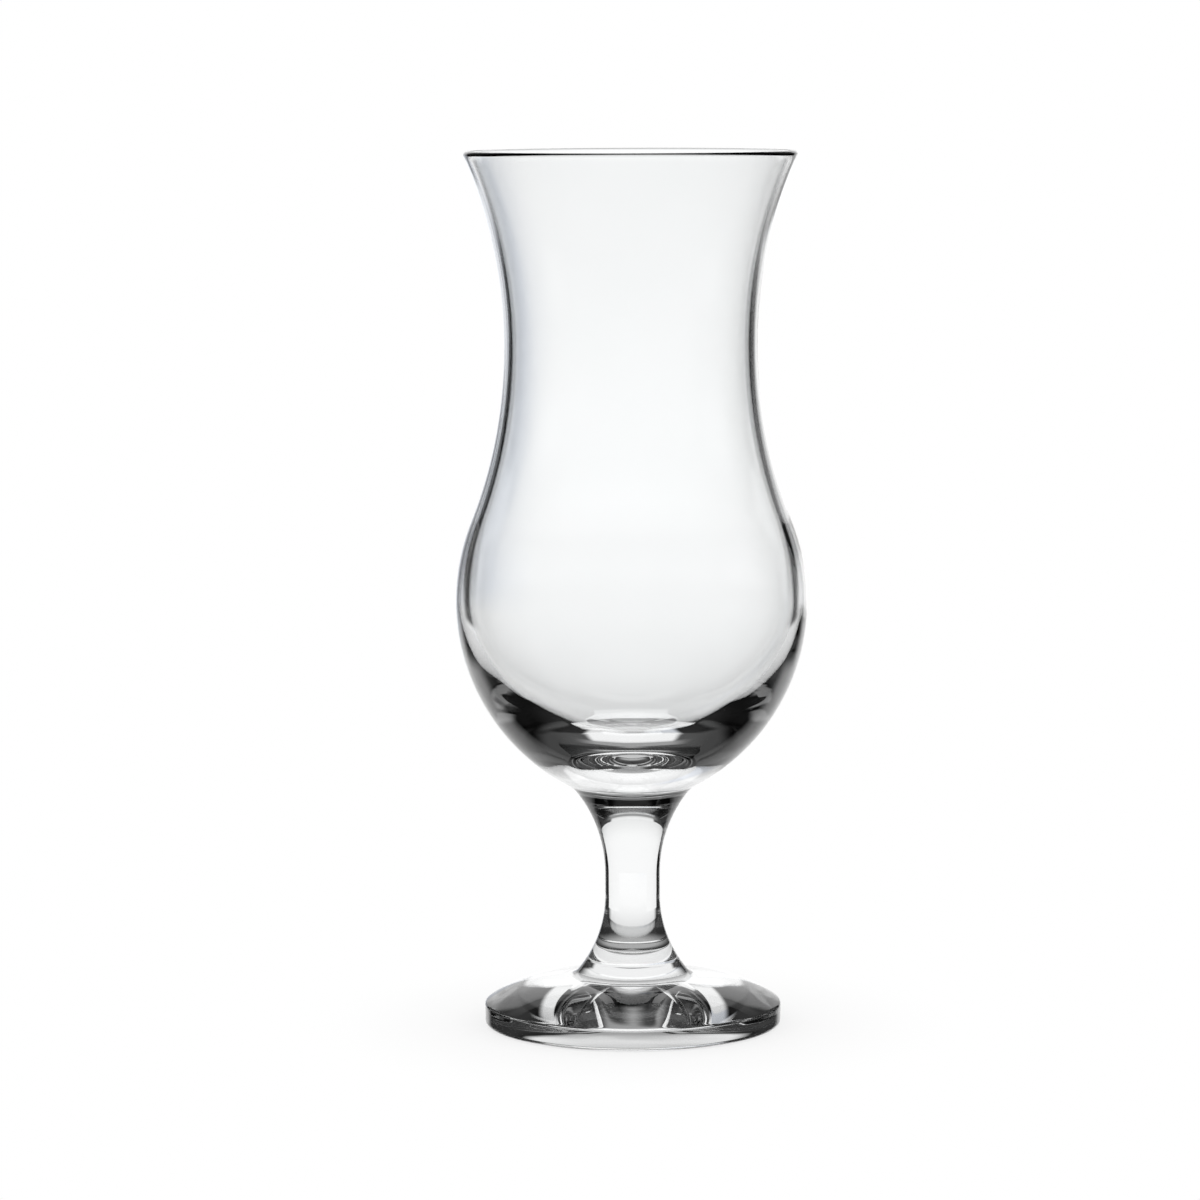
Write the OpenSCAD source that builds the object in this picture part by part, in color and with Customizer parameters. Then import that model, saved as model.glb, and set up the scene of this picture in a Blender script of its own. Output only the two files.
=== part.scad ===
// Hurricane glass: a blown bowl, a drawn stem and a pressed foot, fused end to end.
// Every piece is turned about Z, and z = 0 is the table that the foot stands on.

/* [Bowl] */
// Height of the whole glass, from the table to the top of the lip
total_h = 205; // [190:1:220]
// Outside diameter of the lip
rim_d = 77.5; // [70:0.5:86]
// Outside diameter of the waist
waist_d = 59; // [52:0.5:66]
// Height of the waist
waist_z = 160; // [145:1:172]
// Radius of the hollow curve below the waist. It and the flank's radius shrink or grow alike to reach the belly.
shoulder_r = 111; // [90:1:125]
// Radius of the round flank above the belly
flank_r = 50; // [35:1:70]
// Outside diameter of the belly
belly_d = 82.2; // [76:0.2:90]
// Height of the belly's widest ring
belly_z = 100; // [94:1:108]
// Wall thickness at the lip, which is rounded over
rim_wall = 1.6; // [1.2:0.1:2.4]
// Wall thickness at the waist
waist_wall = 1.9; // [1.4:0.1:3]
// Wall thickness at the belly
belly_wall = 3; // [1.8:0.1:4]
// Height of the widest ring inside the bowl
inside_belly_z = 101; // [98:0.5:106]
// Thickness of the glass under the well, down to the seam
floor_wall = 9; // [6:0.2:15]

/* [Stem] */
// Height of the seam between bowl and stem
bowl_seam_z = 56.2; // [52:0.2:60]
// Diameter of the seam between bowl and stem
bowl_seam_d = 28.2; // [22:0.2:34]
// Diameter of the stem where it is thinnest
stem_d = 12.9; // [10:0.1:16]
// Height where the thin stretch begins to flare towards the bowl
stem_top_z = 35.7; // [32:0.1:40]
// Height where the thin stretch begins to flare towards the foot
stem_low_z = 30.4; // [28:0.1:31.9]

/* [Foot] */
// Height of the seam between stem and foot
foot_seam_z = 15.6; // [14:0.1:17]
// Diameter of the seam between stem and foot
foot_seam_d = 21.4; // [19.6:0.1:23]
// Depth of the fine groove round the seam between stem and foot
seam_groove = 0.25; // [0.1:0.05:0.6]
// Diameter of the foot
foot_d = 69.8; // [62:0.2:80]
// Height of the foot's domed top
dome_z = 11.3; // [10:0.1:12.4]
// Radius of the dome's curve
dome_r = 38; // [33:1:60]
// Radius of the fillet between collar and dome
collar_fillet_r = 3.7; // [1:0.1:5]
// Height where dome and edge would meet in a sharp corner
edge_h = 5; // [3.5:0.1:6]
// Radius that rounds the edge's upper corner
edge_round_r = 1; // [0.3:0.1:2]
// Radius that rounds the edge's lower corner
base_round_r = 1; // [0.4:0.1:1.5]
// Diameter of the shallow dish under the foot
dish_d = 59; // [46:0.5:60]
// Depth of the dish at its middle
dish_h = 0.6; // [0.3:0.1:2]

/* [Hidden] */
$fn = 80;

// Farthest that a chord of an outline stands off its arc
chord_gap = 0.15;
// Fewest chords of an arc
least_chords = 2;
// Fewest chords of the lip's round
lip_chords = 8;

rim_r = rim_d / 2;
lip_r = rim_wall / 2;
waist_r = waist_d / 2;
belly_r = belly_d / 2;
bowl_seam_r = bowl_seam_d / 2;
stem_r = stem_d / 2;
foot_seam_r = foot_seam_d / 2;
foot_r = foot_d / 2;
dish_r = dish_d / 2;

// Radius of an arc that starts upright, and ends sideways and upwards of its start
function arc_r(sideways, upwards) = (sideways * sideways + upwards * upwards) / (2 * sideways);

// Points along an oval after its first one, as [radius, height]
function oval(centre, across, upright, from, to, fewest = least_chords) =
    let (chord_turn = 2 * acos(1 - chord_gap / across))
    let (chords = max(fewest, ceil(abs(to - from) / chord_turn))) [
        for (i = [1:chords])
            let (turn = from + (to - from) * i / chords)
                centre + [across * cos(turn), upright * sin(turn)]
    ];

// Points along an arc after its first one
function arc(centre, r, from, to, fewest = least_chords) = oval(centre, r, r, from, to, fewest);

// Direction from one point to another
function heading(from, to) = atan2(to[1] - from[1], to[0] - from[0]);

// Point of a circle
function on_circle(centre, r, turn) = centre + r * [cos(turn), sin(turn)];

// Centre of the circle of radius r that bulges to the left on its way from a to b
function bulge_centre(a, b, r) =
    let (way = (b - a) / norm(b - a))
        (a + b) / 2 + sqrt(r * r - (b - a) * (b - a) / 4) * [way[1], -way[0]];

// Crossing of two circles that lies to the right on the way from the first centre to the second
function crossing(c1, r1, c2, r2) =
    let (way = (c2 - c1) / norm(c2 - c1))
        let (along = (r1 * r1 - r2 * r2 + (c2 - c1) * (c2 - c1)) / (2 * norm(c2 - c1)))
            c1 + along * way + sqrt(r1 * r1 - along * along) * [way[1], -way[0]];

// Outside of the bowl: a flare that touches the lip's round, an S-curve from waist to belly, and the round base
lip_c = [rim_r - lip_r, total_h - lip_r];
lip_rise = lip_c - [waist_r, waist_z];
flare_r = (lip_rise * lip_rise - lip_r * lip_r) / (2 * (rim_r - waist_r));
flare_c = [waist_r + flare_r, waist_z];
flare_end = heading(flare_c, lip_c);
s_curve_r = arc_r(belly_r - waist_r, waist_z - belly_z);
shoulder_arc_r = s_curve_r * shoulder_r / (shoulder_r + flank_r);
flank_arc_r = s_curve_r - shoulder_arc_r;
belly_turn = asin((waist_z - belly_z) / s_curve_r);
base_arc_r = arc_r(belly_r - bowl_seam_r, belly_z - bowl_seam_z);
base_c = [belly_r - base_arc_r, belly_z];
base_turn = asin((belly_z - bowl_seam_z) / base_arc_r);

// Inside of the bowl: the same curves one wall further in, and a round-bottomed well
inside_waist_r = waist_r - waist_wall;
inside_belly_r = belly_r - belly_wall;
inside_drop = waist_z - inside_belly_z;
inside_rise = lip_c - [inside_waist_r, waist_z];
inside_flare_r = (inside_rise * inside_rise - lip_r * lip_r) / (2 * (rim_r - rim_wall - inside_waist_r));
inside_flare_c = [inside_waist_r + inside_flare_r, waist_z];
inside_flare_end = heading(inside_flare_c, lip_c);
inside_curve_r = arc_r(inside_belly_r - inside_waist_r, inside_drop);
inside_shoulder_r = inside_curve_r * shoulder_r / (shoulder_r + flank_r);
inside_flank_r = inside_curve_r - inside_shoulder_r;
inside_turn = asin(inside_drop / inside_curve_r);
well_depth = inside_belly_z - bowl_seam_z - floor_wall;

// Flares of the stem. The foot's collar carries the lower one on below the seam's groove.
top_flare_r = arc_r(bowl_seam_r - stem_r, bowl_seam_z - stem_top_z);
top_flare_turn = asin((bowl_seam_z - stem_top_z) / top_flare_r);
low_flare_r = arc_r(foot_seam_r - stem_r, stem_low_z - foot_seam_z);
low_flare_c = [stem_r + low_flare_r, stem_low_z];
low_flare_turn = asin((stem_low_z - foot_seam_z - seam_groove) / low_flare_r);
collar_turn = asin((stem_low_z - foot_seam_z + seam_groove) / low_flare_r);

// Foot: the dome falls from the collar's end to the edge, and the fillet touches collar and dome
collar_end = on_circle(low_flare_c, low_flare_r, 180 + asin((stem_low_z - dome_z) / low_flare_r));
dome_c = bulge_centre(collar_end, [foot_r, edge_h], dome_r);
fillet_c = crossing(low_flare_c, low_flare_r - collar_fillet_r, dome_c, dome_r + collar_fillet_r);
fillet_start = 180 + heading(fillet_c, low_flare_c);
fillet_end = heading(dome_c, fillet_c);
edge_cr = foot_r - edge_round_r;
edge_turn = acos((edge_cr - dome_c[0]) / (dome_r - edge_round_r));
edge_c = [edge_cr, dome_c[1] + (dome_r - edge_round_r) * sin(edge_turn)];
round_c = [foot_r - base_round_r, base_round_r];
dish_arc_r = arc_r(dish_h, dish_r);
dish_turn = acos(dish_r / dish_arc_r);

// Half section of the bowl: up the outside from the seam, over the lip, and down the inside
function bowl_outline() = concat(
    [[0, bowl_seam_z], [bowl_seam_r, bowl_seam_z]],
    arc(base_c, base_arc_r, -base_turn, 0),
    arc([belly_r - flank_arc_r, belly_z], flank_arc_r, 0, belly_turn),
    arc([waist_r + shoulder_arc_r, waist_z], shoulder_arc_r, 180 + belly_turn, 180),
    arc(flare_c, flare_r, 180, flare_end),
    arc(lip_c, lip_r, flare_end - 180, inside_flare_end, lip_chords),
    arc(inside_flare_c, inside_flare_r, inside_flare_end, 180),
    arc([inside_waist_r + inside_shoulder_r, waist_z], inside_shoulder_r, 180, 180 + inside_turn),
    arc([inside_belly_r - inside_flank_r, inside_belly_z], inside_flank_r, inside_turn, 0),
    oval([0, inside_belly_z], inside_belly_r, well_depth, 0, -90)
);

// Half section of the stem, from the lower seam up to the upper one
function stem_outline() = concat(
    [[0, foot_seam_z], [foot_seam_r - seam_groove, foot_seam_z]],
    [on_circle(low_flare_c, low_flare_r, 180 + low_flare_turn)],
    arc(low_flare_c, low_flare_r, 180 + low_flare_turn, 180),
    [[stem_r, stem_top_z]],
    arc([stem_r + top_flare_r, stem_top_z], top_flare_r, 180, 180 - top_flare_turn),
    [[0, bowl_seam_z]]
);

// Half section of the foot: out from the seam, over collar, dome and edge, and back under the dish
function foot_outline() = concat(
    [[0, foot_seam_z], [foot_seam_r - seam_groove, foot_seam_z]],
    [on_circle(low_flare_c, low_flare_r, 180 + collar_turn)],
    arc(low_flare_c, low_flare_r, 180 + collar_turn, fillet_start),
    arc(fillet_c, collar_fillet_r, fillet_start, 180 + fillet_end),
    arc(dome_c, dome_r, fillet_end, edge_turn),
    arc(edge_c, edge_round_r, edge_turn, 0),
    [[foot_r, base_round_r]],
    arc(round_c, base_round_r, 0, -90),
    [[dish_r, 0]],
    arc([0, dish_h - dish_arc_r], dish_arc_r, dish_turn, 90)
);

// Thin flared cup with a heavy base and a rounded lip
module bowl() {
    color([0.86, 0.91, 0.93, 0.45])
        rotate_extrude() polygon(bowl_outline());
}

// Solid column, thinnest at its middle, with a flare to each seam
module stem() {
    color([0.84, 0.9, 0.92, 0.45])
        rotate_extrude() polygon(stem_outline());
}

// Solid pressed foot that rests on a ring round its shallow dish
module foot() {
    color([0.82, 0.88, 0.9, 0.45])
        rotate_extrude() polygon(foot_outline());
}

bowl();
stem();
foot();
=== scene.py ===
"""Hurricane glass: fine glass pieces over the CAD frame, on a plain white table."""

import math

import bmesh
import bpy
from mathutils import Matrix


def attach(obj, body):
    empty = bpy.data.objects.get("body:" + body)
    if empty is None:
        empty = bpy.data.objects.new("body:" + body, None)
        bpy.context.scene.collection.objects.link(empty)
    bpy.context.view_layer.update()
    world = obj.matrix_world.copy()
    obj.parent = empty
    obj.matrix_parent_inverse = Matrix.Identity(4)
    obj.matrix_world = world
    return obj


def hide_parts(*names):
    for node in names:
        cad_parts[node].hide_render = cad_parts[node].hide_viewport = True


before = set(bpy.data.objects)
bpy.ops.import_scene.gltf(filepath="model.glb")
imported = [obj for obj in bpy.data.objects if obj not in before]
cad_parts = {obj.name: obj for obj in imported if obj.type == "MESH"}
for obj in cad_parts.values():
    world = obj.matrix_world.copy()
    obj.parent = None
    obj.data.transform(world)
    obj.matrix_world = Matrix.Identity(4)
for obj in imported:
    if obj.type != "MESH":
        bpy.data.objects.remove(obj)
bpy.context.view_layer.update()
scene = bpy.context.scene

# Sizes of the glass in millimetres, the same as those of the CAD source
TOTAL_H = 205.0
RIM_R = 38.75
WAIST_R = 29.5
WAIST_Z = 160.0
SHOULDER_R = 111.0
FLANK_R = 50.0
BELLY_R = 41.1
BELLY_Z = 100.0
RIM_WALL = 1.6
WAIST_WALL = 1.9
BELLY_WALL = 3.0
INSIDE_BELLY_Z = 101.0
FLOOR_WALL = 9.0
BOWL_SEAM_Z = 56.2
BOWL_SEAM_R = 14.1
STEM_R = 6.45
STEM_TOP_Z = 35.7
STEM_LOW_Z = 30.4
FOOT_SEAM_Z = 15.6
FOOT_SEAM_R = 10.7
SEAM_GROOVE = 0.25
FOOT_R = 34.9
DOME_Z = 11.3
DOME_R = 38.0
COLLAR_FILLET_R = 3.7
EDGE_H = 5.0
EDGE_ROUND_R = 1.0
BASE_ROUND_R = 1.0
DISH_R = 29.5
DISH_H = 0.6

# Radius that softens the crease at the upper seam, which the CAD source leaves sharp
SEAM_FILLET_R = 6.0

MM = 0.001
# Lengths that differ by less count as equal
NEAR = 1e-6

# Sides of a turned piece
SIDES = 256
# Corners between faces that turn more than this, in degrees, stay sharp
SHARP_TURN = 30
# Steps along the arcs of an outline, in degrees
ROUND_STEP = 6
FILLET_STEP = 3
CURVE_STEP = 1
LONG_CURVE_STEP = 0.75
DOME_STEP = 0.5
DISH_STEP = 0.1
LEAST_STEPS = 4
# Stretches of the straight lines of an outline
SEAM_STRETCHES = 6
STEM_STRETCHES = 4
EDGE_STRETCHES = 6
REST_STRETCHES = 4


def arc_r(sideways, upwards):
    """Radius of an arc that starts upright, and ends sideways and upwards of its start."""
    return (sideways * sideways + upwards * upwards) / (2 * sideways)


def oval(centre, across, upright, start, end, step):
    """Points along an oval after its first one, as (radius, height), with angles in degrees."""
    count = max(LEAST_STEPS, round(abs(end - start) / step))
    turns = [math.radians(start + (end - start) * i / count) for i in range(1, count + 1)]
    return [(centre[0] + across * math.cos(t), centre[1] + upright * math.sin(t)) for t in turns]


def arc(centre, r, start, end, step):
    """Points along an arc after its first one."""
    return oval(centre, r, r, start, end, step)


def line(start, end, count):
    """Points along a straight line after its first one."""
    return [
        (start[0] + (end[0] - start[0]) * i / count, start[1] + (end[1] - start[1]) * i / count)
        for i in range(1, count + 1)
    ]


def turn(rise, r):
    """Angle in degrees at which an arc of radius r has risen that far."""
    return math.degrees(math.asin(rise / r))


def heading(start, end):
    """Direction in degrees from one point to another."""
    return math.degrees(math.atan2(end[1] - start[1], end[0] - start[0]))


def on_circle(centre, r, angle):
    """Point of a circle, with its angle in degrees."""
    t = math.radians(angle)
    return (centre[0] + r * math.cos(t), centre[1] + r * math.sin(t))


def crossing(c1, r1, c2, r2):
    """Crossing of two circles, to the right on the way from the first centre to the second."""
    gap = math.dist(c1, c2)
    way = ((c2[0] - c1[0]) / gap, (c2[1] - c1[1]) / gap)
    along = (r1 * r1 - r2 * r2 + gap * gap) / (2 * gap)
    aside = math.sqrt(r1 * r1 - along * along)
    return (c1[0] + along * way[0] + aside * way[1], c1[1] + along * way[1] - aside * way[0])


# Base of the bowl and upper flare of the stem, with a fillet as of molten glass where they meet
BASE_R = arc_r(BELLY_R - BOWL_SEAM_R, BELLY_Z - BOWL_SEAM_Z)
BASE_C = (BELLY_R - BASE_R, BELLY_Z)
TOP_FLARE_R = arc_r(BOWL_SEAM_R - STEM_R, BOWL_SEAM_Z - STEM_TOP_Z)
TOP_FLARE_C = (STEM_R + TOP_FLARE_R, STEM_TOP_Z)
SEAM_FILLET_C = crossing(
    BASE_C, BASE_R + SEAM_FILLET_R, TOP_FLARE_C, TOP_FLARE_R - SEAM_FILLET_R
)
SEAM_TURN = 180 - turn(BOWL_SEAM_Z - SEAM_FILLET_C[1], SEAM_FILLET_R)
SEAM_EDGE = on_circle(SEAM_FILLET_C, SEAM_FILLET_R, SEAM_TURN)

# Lower flare of the stem, which the foot's collar carries on, and the bottom of the seam's groove
LOW_FLARE_R = arc_r(FOOT_SEAM_R - STEM_R, STEM_LOW_Z - FOOT_SEAM_Z)
LOW_FLARE_C = (STEM_R + LOW_FLARE_R, STEM_LOW_Z)
GROOVE = (FOOT_SEAM_R - SEAM_GROOVE, FOOT_SEAM_Z)


def bowl_outline():
    """Half section of the bowl, from its seam up the outside and down the inside."""
    lip_r = RIM_WALL / 2
    lip_c = (RIM_R - lip_r, TOTAL_H - lip_r)
    in_waist_r, in_belly_r = WAIST_R - WAIST_WALL, BELLY_R - BELLY_WALL

    def flare(waist_r, rim_r):
        """Radius and centre of a flare that starts upright at the waist and touches the lip's round."""
        reach = math.dist(lip_c, (waist_r, WAIST_Z))
        r = (reach**2 - lip_r**2) / (2 * (rim_r - waist_r))
        return r, (waist_r + r, WAIST_Z)

    def s_curve(waist_r, belly_r, drop):
        """Radii of the hollow and the round half of an S-curve from waist to belly, and its turn."""
        r = arc_r(belly_r - waist_r, drop)
        shoulder_r = r * SHOULDER_R / (SHOULDER_R + FLANK_R)
        return shoulder_r, r - shoulder_r, turn(drop, r)

    flare_r, flare_c = flare(WAIST_R, RIM_R)
    in_flare_r, in_flare_c = flare(in_waist_r, RIM_R - RIM_WALL)
    flare_end, in_flare_end = heading(flare_c, lip_c), heading(in_flare_c, lip_c)
    shoulder_r, flank_r, belly_turn = s_curve(WAIST_R, BELLY_R, WAIST_Z - BELLY_Z)
    in_shoulder_r, in_flank_r, in_turn = s_curve(in_waist_r, in_belly_r, WAIST_Z - INSIDE_BELLY_Z)
    shoulder_c = (WAIST_R + shoulder_r, WAIST_Z)
    in_shoulder_c = (in_waist_r + in_shoulder_r, WAIST_Z)
    flank_c = (BELLY_R - flank_r, BELLY_Z)
    in_flank_c = (in_belly_r - in_flank_r, INSIDE_BELLY_Z)
    well_depth = INSIDE_BELLY_Z - BOWL_SEAM_Z - FLOOR_WALL
    fillet_end = heading(SEAM_FILLET_C, BASE_C)
    base_start = heading(BASE_C, SEAM_FILLET_C)

    points = [(0, BOWL_SEAM_Z)]
    points += line(points[0], SEAM_EDGE, SEAM_STRETCHES)
    points += arc(SEAM_FILLET_C, SEAM_FILLET_R, SEAM_TURN, fillet_end, FILLET_STEP)
    points += arc(BASE_C, BASE_R, base_start, 0, CURVE_STEP)
    points += arc(flank_c, flank_r, 0, belly_turn, CURVE_STEP)
    points += arc(shoulder_c, shoulder_r, 180 + belly_turn, 180, LONG_CURVE_STEP)
    points += arc(flare_c, flare_r, 180, flare_end, LONG_CURVE_STEP)
    points += arc(lip_c, lip_r, flare_end - 180, in_flare_end, ROUND_STEP)
    points += arc(in_flare_c, in_flare_r, in_flare_end, 180, LONG_CURVE_STEP)
    points += arc(in_shoulder_c, in_shoulder_r, 180, 180 + in_turn, LONG_CURVE_STEP)
    points += arc(in_flank_c, in_flank_r, in_turn, 0, CURVE_STEP)
    points += oval((0, INSIDE_BELLY_Z), in_belly_r, well_depth, 0, -90, CURVE_STEP)
    return points


def stem_outline():
    """Half section of the stem, from the lower seam up to the upper one."""
    fillet_start = heading(TOP_FLARE_C, SEAM_FILLET_C)
    low_turn = turn(STEM_LOW_Z - FOOT_SEAM_Z - SEAM_GROOVE, LOW_FLARE_R)

    points = [(0, FOOT_SEAM_Z)]
    points += line(points[0], GROOVE, SEAM_STRETCHES)
    points += [on_circle(LOW_FLARE_C, LOW_FLARE_R, 180 + low_turn)]
    points += arc(LOW_FLARE_C, LOW_FLARE_R, 180 + low_turn, 180, CURVE_STEP)
    points += line((STEM_R, STEM_LOW_Z), (STEM_R, STEM_TOP_Z), STEM_STRETCHES)
    points += arc(TOP_FLARE_C, TOP_FLARE_R, 180, fillet_start, CURVE_STEP)
    points += arc(SEAM_FILLET_C, SEAM_FILLET_R, fillet_start, SEAM_TURN, FILLET_STEP)
    points += line(SEAM_EDGE, (0, BOWL_SEAM_Z), SEAM_STRETCHES)
    return points


def foot_outline():
    """Half section of the foot, from the seam over collar, dome and edge and back under the dish."""
    collar_turn = turn(STEM_LOW_Z - FOOT_SEAM_Z + SEAM_GROOVE, LOW_FLARE_R)
    # The dome runs from where the lower flare reaches its height to the edge
    dome_turn = turn(STEM_LOW_Z - DOME_Z, LOW_FLARE_R)
    start = on_circle(LOW_FLARE_C, LOW_FLARE_R, 180 + dome_turn)
    span = math.dist(start, (FOOT_R, EDGE_H))
    drop = math.sqrt(DOME_R**2 - span**2 / 4) / span
    dome_c = (
        (start[0] + FOOT_R) / 2 + drop * (EDGE_H - start[1]),
        (start[1] + EDGE_H) / 2 - drop * (FOOT_R - start[0]),
    )
    fillet_c = crossing(
        LOW_FLARE_C, LOW_FLARE_R - COLLAR_FILLET_R, dome_c, DOME_R + COLLAR_FILLET_R
    )
    fillet_start = heading(LOW_FLARE_C, fillet_c) % 360
    fillet_end = heading(dome_c, fillet_c)
    edge_cr = FOOT_R - EDGE_ROUND_R
    edge_turn = math.degrees(math.acos((edge_cr - dome_c[0]) / (DOME_R - EDGE_ROUND_R)))
    edge_cz = on_circle(dome_c, DOME_R - EDGE_ROUND_R, edge_turn)[1]
    round_c = (FOOT_R - BASE_ROUND_R, BASE_ROUND_R)
    dish_r = arc_r(DISH_H, DISH_R)
    dish_turn = math.degrees(math.acos(DISH_R / dish_r))

    points = [(0, FOOT_SEAM_Z)]
    points += line(points[0], GROOVE, SEAM_STRETCHES)
    points += [on_circle(LOW_FLARE_C, LOW_FLARE_R, 180 + collar_turn)]
    points += arc(LOW_FLARE_C, LOW_FLARE_R, 180 + collar_turn, fillet_start, CURVE_STEP)
    points += arc(fillet_c, COLLAR_FILLET_R, fillet_start, 180 + fillet_end, FILLET_STEP)
    points += arc(dome_c, DOME_R, fillet_end, edge_turn, DOME_STEP)
    points += arc((edge_cr, edge_cz), EDGE_ROUND_R, edge_turn, 0, ROUND_STEP)
    points += line((FOOT_R, edge_cz), (FOOT_R, BASE_ROUND_R), EDGE_STRETCHES)
    points += arc(round_c, BASE_ROUND_R, 0, -90, ROUND_STEP)
    points += line((FOOT_R - BASE_ROUND_R, 0), (DISH_R, 0), REST_STRETCHES)
    points += arc((0, DISH_H - dish_r), dish_r, dish_turn, 90, DISH_STEP)
    return points


def turned(name, outline, joint_heights, materials):
    """A closed piece turned about Z. Its level faces at a joint height take the second material."""
    rings, verts, faces, joints = [], [], [], []
    # Outlines run anticlockwise, so that every face looks outwards
    if sum(a[0] * b[1] - b[0] * a[1] for a, b in zip(outline, outline[1:] + outline[:1])) < 0:
        outline = outline[::-1]
    for r, z in outline:
        if abs(r) < NEAR:
            rings.append([len(verts)])
            verts.append((0, 0, z * MM))
        else:
            rings.append(list(range(len(verts), len(verts) + SIDES)))
            for i in range(SIDES):
                a = 2 * math.pi * i / SIDES
                verts.append((r * MM * math.cos(a), r * MM * math.sin(a), z * MM))
    for k in range(len(rings) - 1):
        low, high = rings[k], rings[k + 1]
        level = abs(outline[k][1] - outline[k + 1][1]) < NEAR
        joint = level and any(abs(outline[k][1] - z) < NEAR for z in joint_heights)
        for i in range(SIDES):
            j = (i + 1) % SIDES
            if len(low) == 1:
                faces.append((low[0], high[j], high[i]))
            elif len(high) == 1:
                faces.append((low[i], low[j], high[0]))
            else:
                faces.append((low[i], low[j], high[j], high[i]))
            joints.append(1 if joint else 0)
    mesh = bpy.data.meshes.new(name)
    mesh.from_pydata(verts, [], faces)
    for m in materials:
        mesh.materials.append(m)
    mesh.polygons.foreach_set("material_index", joints)
    mesh.polygons.foreach_set("use_smooth", [True] * len(faces))
    mesh.set_sharp_from_angle(angle=math.radians(SHARP_TURN))
    mesh.update()
    piece = bpy.data.objects.new(name, mesh)
    scene.collection.objects.link(piece)
    return piece


WHITE = (1, 1, 1, 1)


class Nodes:
    """A node material, built up node by node."""

    def __init__(self, name):
        self.material = bpy.data.materials.new(name)
        self.material.use_nodes = True
        self.tree = self.material.node_tree
        self.tree.nodes.clear()
        self.out = self.add("ShaderNodeOutputMaterial")

    def add(self, kind, values=None, **settings):
        """A new node, with its sockets set to a value or linked to another node's socket."""
        node = self.tree.nodes.new(kind)
        for key, value in settings.items():
            setattr(node, key, value)
        for key, value in (values or {}).items():
            if isinstance(value, bpy.types.NodeSocket):
                self.tree.links.new(value, node.inputs[key])
            else:
                node.inputs[key].default_value = value
        return node

    def math(self, operation, *values):
        """Result of one operation on numbers or sockets."""
        return self.add("ShaderNodeMath", dict(enumerate(values)), operation=operation).outputs[0]

    def chain(self, operation, first, *others):
        """Result of an operation on the first value and each of the others in turn."""
        for other in others:
            first = self.math(operation, first, other)
        return first

    def fade(self, value, start, end, low=0.0, high=1.0):
        """A soft step from low to high while a value goes from start to end."""
        spans = {"Value": value, "From Min": start, "From Max": end, "To Min": low, "To Max": high}
        step = self.add("ShaderNodeMapRange", spans, interpolation_type="SMOOTHSTEP")
        return step.outputs["Result"]

    def patch(self, level, *edges):
        """Light of that level within soft edges, each a value with its dark and its bright end."""
        return self.chain("MULTIPLY", level, *(self.fade(*edge) for edge in edges))

    def mix(self, share, first, second):
        """A number that goes from the first to the second as the share goes from 0 to 1."""
        return self.add("ShaderNodeMix", {0: share, 2: first, 3: second}).outputs[0]

    def blend(self, share, first, second):
        """A colour that goes from the first to the second as the share goes from 0 to 1."""
        colours = {0: share, 6: first, 7: second}
        return self.add("ShaderNodeMix", colours, data_type="RGBA").outputs[2]

    def finish(self, shader):
        """The material, with this shader as its surface."""
        self.tree.links.new(shader.outputs[0], self.out.inputs["Surface"])
        return self.material


GLASS_DEEP = (0.975, 0.985, 0.985, 1)
GLASS_PALE = (0.995, 0.998, 1, 1)
GLASS_IOR = 1.5


def clear_glass():
    """Clear glass with the faint upright waves of a drawn piece, and a tint that comes and goes."""
    n = Nodes("clear_glass")
    place = n.add("ShaderNodeTexCoord").outputs["Object"]
    drawn = n.add("ShaderNodeMapping", {"Vector": place, "Scale": (1, 1, 0.15)}).outputs["Vector"]
    waves = n.add("ShaderNodeTexNoise", {"Vector": drawn, "Scale": 55, "Detail": 1.0}).outputs[0]
    bump = n.add("ShaderNodeBump", {"Strength": 0.2, "Distance": 0.001, "Height": waves})
    clouds = n.add("ShaderNodeTexNoise", {"Vector": place, "Scale": 30, "Detail": 2.0}).outputs[0]
    return n.finish(n.add("ShaderNodeBsdfPrincipled", {
        "Base Color": n.blend(clouds, GLASS_DEEP, GLASS_PALE),
        "Roughness": 0.0,
        "IOR": GLASS_IOR,
        "Transmission Weight": 1.0,
        "Normal": bump.outputs[0],
    }))


def fused_joint():
    """Clear passage between fused pieces, which have no air between them."""
    n = Nodes("fused_joint")
    return n.finish(n.add("ShaderNodeBsdfTransparent"))


glass = clear_glass()
joint = fused_joint()
bowl = turned("glass_bowl", bowl_outline(), [BOWL_SEAM_Z], [glass, joint])
stem = turned("glass_stem", stem_outline(), [FOOT_SEAM_Z, BOWL_SEAM_Z], [glass, joint])
foot = turned("glass_foot", foot_outline(), [FOOT_SEAM_Z], [glass, joint])
for piece, node in ((bowl, "bowl"), (stem, "stem"), (foot, "foot")):
    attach(piece, "root")
    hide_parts(node)

# Camera, fitted to the rings of the glass in the photo, in metres and degrees
CAMERA_PLACE = (-0.00742, -1.096, 0.2232)
CAMERA_DIP = 6.40
CAMERA_ROLL = -0.21
CAMERA_LENS = 141.33
CAMERA_SENSOR = 36

camera_data = bpy.data.cameras.new("camera")
camera = bpy.data.objects.new("camera", camera_data)
scene.collection.objects.link(camera)
camera_data.sensor_width = CAMERA_SENSOR
camera_data.lens = CAMERA_LENS
camera.matrix_basis = (
    Matrix.Translation(CAMERA_PLACE)
    @ Matrix.Rotation(math.radians(90 - CAMERA_DIP), 4, "X")
    @ Matrix.Rotation(math.radians(CAMERA_ROLL), 4, "Z")
)
scene.camera = camera


def stage_piece(name, shape, material):
    """A piece of the set, from a bmesh."""
    mesh = bpy.data.meshes.new(name)
    shape.to_mesh(mesh)
    shape.free()
    mesh.materials.append(material)
    piece = bpy.data.objects.new(name, mesh)
    scene.collection.objects.link(piece)
    return piece


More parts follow.
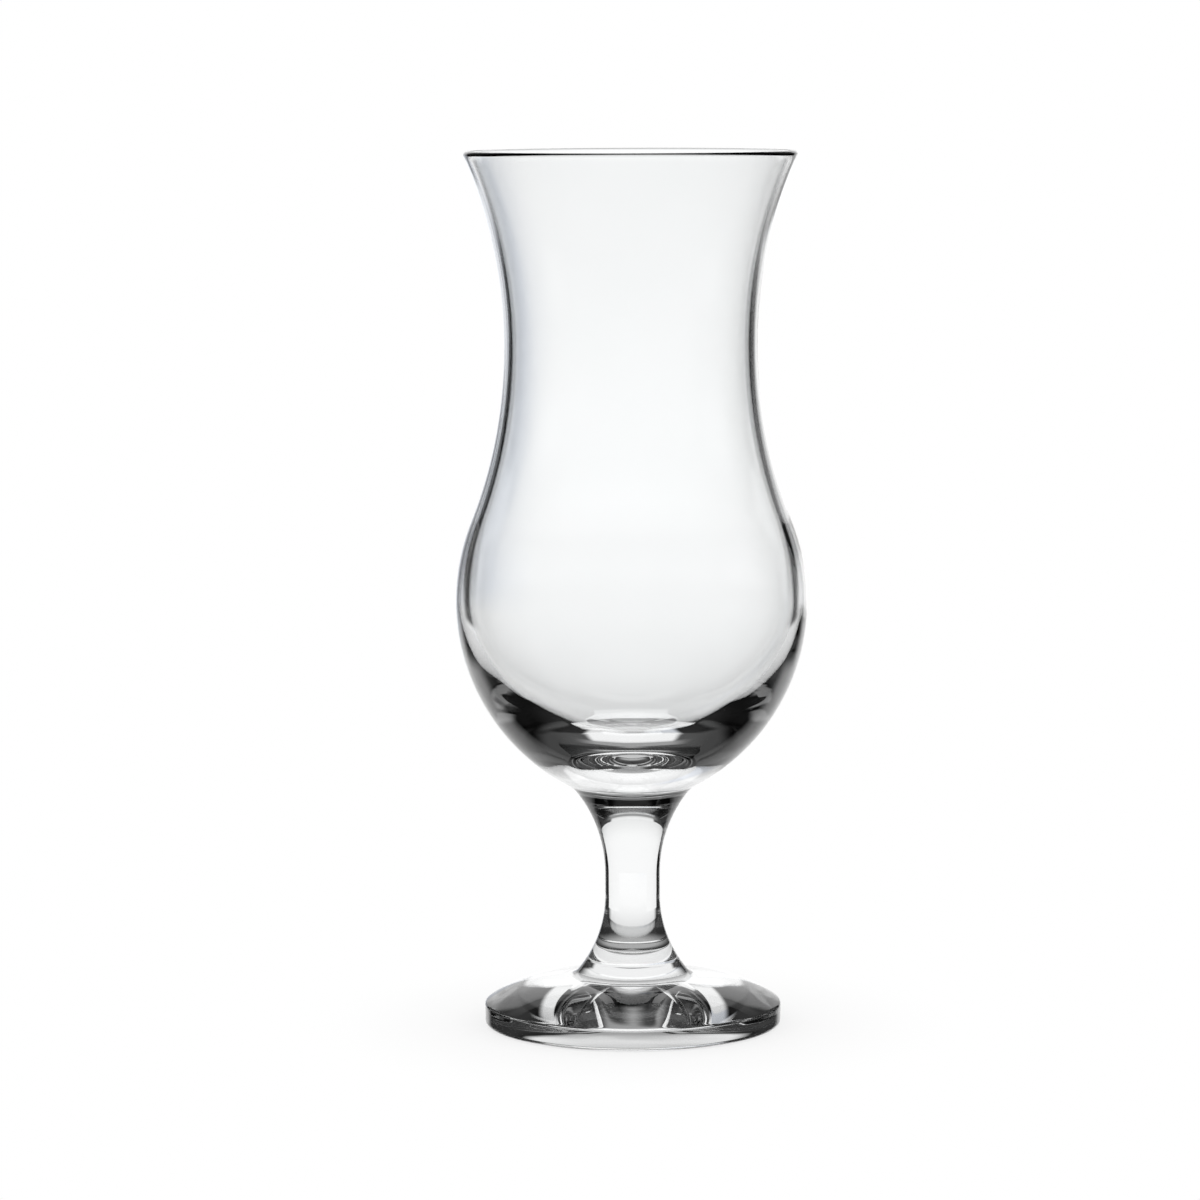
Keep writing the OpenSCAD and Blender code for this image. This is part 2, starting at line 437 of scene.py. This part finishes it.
# Sizes of the set in metres
TABLE_R = 0.4
TABLE_SIDES = 96
TABLE_DROP = 0.0002
STUDIO_R = 3
STUDIO_Z = 0.1
CARD_R = 0.02
# Cards, each from one angle to another round the glass, in degrees, and from one height to another
CARDS = {
    "card_back": (-34, 34, 0.033, 0.056),
    "card_left": (-34, -12, 0.02, 0.036),
    "card_right": (12, 34, 0.02, 0.036),
}
PAPER = (0.97, 0.97, 0.97, 1)
COOL_WHITE = (0.8, 0.83, 0.885, 1)


def table_white():
    """White table that takes the shadow of the glass, and fades to the white background round it."""
    n = Nodes("table_white")
    place = n.add("ShaderNodeNewGeometry").outputs["Position"]
    away = n.add("ShaderNodeVectorMath", {0: place}, operation="LENGTH").outputs["Value"]
    paper = n.add("ShaderNodeBsdfDiffuse", {"Color": PAPER}).outputs[0]
    white = n.add("ShaderNodeEmission", {"Color": WHITE, "Strength": 1.0}).outputs[0]
    share = n.fade(away, 0.03, 0.08, 0.75, 1.0)
    return n.finish(n.add("ShaderNodeMixShader", {0: share, 1: paper, 2: white}))


def studio_light():
    """Light of the studio by direction: soft panels behind and over the glass, a white ground and dark sides.

    Angles are in degrees: right and aside count from the middle of the back, above from eye level.
    """
    n = Nodes("studio_light")
    place = n.add("ShaderNodeTexCoord").outputs["Object"]
    way = n.add("ShaderNodeVectorMath", {0: place}, operation="NORMALIZE").outputs["Vector"]
    axes = n.add("ShaderNodeSeparateXYZ", {0: way}).outputs
    right = n.math("DEGREES", n.math("ARCTAN2", axes["X"], axes["Y"]))
    aside = n.math("ABSOLUTE", right)
    above = n.math("DEGREES", n.math("ARCSINE", axes["Z"]))

    # Behind the glass: a narrow white strip, a grey panel round it, which is lighter above eye level
    strip_level = n.fade(above, 2, -4.5, 1.06, 1.15)
    strip = n.patch(strip_level, (aside, 18.5, 15), (above, 40, 14))
    panel = n.patch(0.75, (aside, 28, 23), (above, 33, 30))
    window = n.patch(0.9, (aside, 28, 23), (above, 5, 9), (above, 33, 28))
    # Over the panel: a dim one that narrows towards its top, and a little light that spills past the sides
    narrowed = n.math("ADD", aside, n.fade(above, 36, 40, 0, 24))
    upper = n.patch(0.28, (narrowed, 38, 22), (above, 28, 33), (above, 44.5, 43))
    spill = n.patch(0.06, (aside, 60, 48), (above, 2, 7), (above, 44, 40))
    # Overhead: a bar that leans over the glass, and a dim ceiling
    bar = n.patch(0.6, (aside, 42, 22), (above, 49, 53), (above, 60, 57))
    ceiling = n.patch(0.15, (above, 58, 66))
    # At each side: a dim panel. Behind the camera: a dim room
    side = n.patch(0.2, (aside, 84, 92), (aside, 116, 108), (above, 2, 8), (above, 18, 14))
    room = n.patch(0.05, (aside, 110, 130))
    high = n.chain("MAXIMUM", strip, panel, window, upper)
    high = n.chain("ADD", high, spill, bar, ceiling, side, room)

    # Ground: white behind the glass and narrowest at its far edge, dimmer straight below, grey in front
    widened = n.math("SUBTRACT", aside, n.fade(above, -20, -13, 0, -16))
    far = n.patch(1.12, (widened, 52, 38))
    below = n.patch(0.33, (aside, 52, 48))
    front = n.patch(0.4, (aside, 65, 95), (above, -35, -65))
    dark = n.patch(0.03, (aside, 45, 60))
    low = n.chain("ADD", n.mix(n.fade(above, 0, -80), far, below), front, dark)
    light = n.mix(n.fade(above, -6, -9), high, low)

    # The left of the strip is a little dimmer and cooler
    cool = n.patch(1.0, (right, -3, -10), (above, -12, -6), (above, 4, 1))
    tint = n.blend(cool, WHITE, COOL_WHITE)
    return n.finish(n.add("ShaderNodeEmission", {"Color": tint, "Strength": light}))


def glowing_card():
    """Card that glows as a lamp for the glass, with a painted glow that dims a little towards its top, as if
    lit from below.
    """
    n = Nodes("glowing_card")
    place = n.add("ShaderNodeTexCoord").outputs["Object"]
    height = n.add("ShaderNodeSeparateXYZ", {0: place}).outputs["Z"]
    # Painted glow: emission strongest low on the card, fading a little towards its top
    light = n.fade(height, 0.057, 0.046, 0.9, 1.04)
    return n.finish(n.add("ShaderNodeEmission", {"Color": WHITE, "Strength": light}))


shape = bmesh.new()
ground = Matrix.Translation((0, 0, -TABLE_DROP))
bmesh.ops.create_circle(shape, cap_ends=True, segments=TABLE_SIDES, radius=TABLE_R, matrix=ground)
table = stage_piece("table", shape, table_white())
# Through the glass and mirrored in it shows the studio's ground
table.visible_glossy = False
table.visible_transmission = False


def round_the_glass(piece):
    """Makes a piece of the studio that only the glass shows, and that goes round with the camera."""
    piece.parent = camera
    piece.matrix_parent_inverse = camera.matrix_basis.inverted()
    piece.visible_camera = False
    piece.visible_diffuse = False
    piece.visible_shadow = False
    piece.visible_volume_scatter = False


shape = bmesh.new()
bmesh.ops.create_uvsphere(shape, u_segments=48, v_segments=24, radius=STUDIO_R)
studio = stage_piece("studio", shape, studio_light())
studio.location = (0, 0, STUDIO_Z)
round_the_glass(studio)

# Cards that glow as lamps stand close behind the stem and keep it bright, as white cards do behind a drink
white = glowing_card()
for name, (start, end, bottom, top) in CARDS.items():
    shape = bmesh.new()
    turns = [math.radians(t) for t in range(start, end + 1)]
    arc_points = [(CARD_R * math.sin(t), CARD_R * math.cos(t)) for t in turns]
    low = [shape.verts.new((x, y, bottom)) for x, y in arc_points]
    high = [shape.verts.new((x, y, top)) for x, y in arc_points]
    for i in range(len(turns) - 1):
        shape.faces.new((low[i], low[i + 1], high[i + 1], high[i]))
    round_the_glass(stage_piece(name, shape, white))

world = bpy.data.worlds.new("white")
scene.world = world
world.use_nodes = True
background = world.node_tree.nodes["Background"]
background.inputs["Color"].default_value = WHITE
background.inputs["Strength"].default_value = 1.0

scene.view_settings.view_transform = "Standard"
scene.cycles.max_bounces = 32
scene.cycles.transmission_bounces = 32
scene.cycles.glossy_bounces = 16
scene.cycles.transparent_max_bounces = 32
